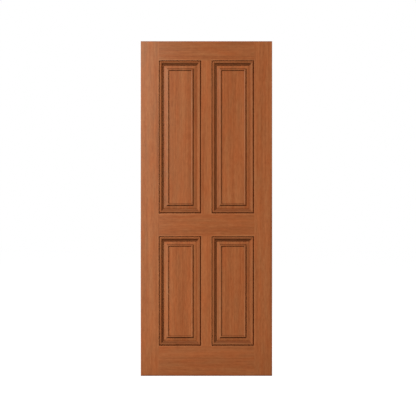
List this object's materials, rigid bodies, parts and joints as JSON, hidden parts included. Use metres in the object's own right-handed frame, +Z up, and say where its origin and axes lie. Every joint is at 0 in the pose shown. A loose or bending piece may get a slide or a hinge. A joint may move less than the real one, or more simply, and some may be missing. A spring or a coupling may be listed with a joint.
{
  "type": "exterior door leaf",
  "caption": "Panelled hardwood exterior door leaf: stiles, rails and muntins round raised panels with mitred mouldings, hung on hinges to close an entrance.",
  "frame": {"origin": "middle of the foot of the leaf, half way through its thickness", "axes": "+Z up the leaf, +X to the right seen from the front, +Y from the front face to the back face"},
  "size_m": [0.838, 0.044, 2.134],
  "materials": {
    "framing": "satin stain",
    "panel": "satin stain",
    "moulding": "satin stain",
    "wedge": "satin stain"
  },
  "bodies": {
    "root": {"left_stile": "framing", "right_stile": "framing", "top_rail": "framing", "lock_rail": "framing", "bottom_rail": "framing", "upper_muntin": "framing", "lower_muntin": "framing", "upper_left_panel": "panel", "upper_right_panel": "panel", "lower_left_panel": "panel", "lower_right_panel": "panel", "upper_left_front_moulding_bottom": "moulding", "upper_left_front_moulding_right": "moulding", "upper_left_front_moulding_top": "moulding", "upper_left_front_moulding_left": "moulding", "upper_left_back_moulding_bottom": "moulding", "upper_left_back_moulding_right": "moulding", "upper_left_back_moulding_top": "moulding", "upper_left_back_moulding_left": "moulding", "upper_right_front_moulding_bottom": "moulding", "upper_right_front_moulding_right": "moulding", "upper_right_front_moulding_top": "moulding", "upper_right_front_moulding_left": "moulding", "upper_right_back_moulding_bottom": "moulding", "upper_right_back_moulding_right": "moulding", "upper_right_back_moulding_top": "moulding", "upper_right_back_moulding_left": "moulding", "lower_left_front_moulding_bottom": "moulding", "lower_left_front_moulding_right": "moulding", "lower_left_front_moulding_top": "moulding", "lower_left_front_moulding_left": "moulding", "lower_left_back_moulding_bottom": "moulding", "lower_left_back_moulding_right": "moulding", "lower_left_back_moulding_top": "moulding", "lower_left_back_moulding_left": "moulding", "lower_right_front_moulding_bottom": "moulding", "lower_right_front_moulding_right": "moulding", "lower_right_front_moulding_top": "moulding", "lower_right_front_moulding_left": "moulding", "lower_right_back_moulding_bottom": "moulding", "lower_right_back_moulding_right": "moulding", "lower_right_back_moulding_top": "moulding", "lower_right_back_moulding_left": "moulding", "tenon_wedges": "wedge"}
  },
  "joints": []
}
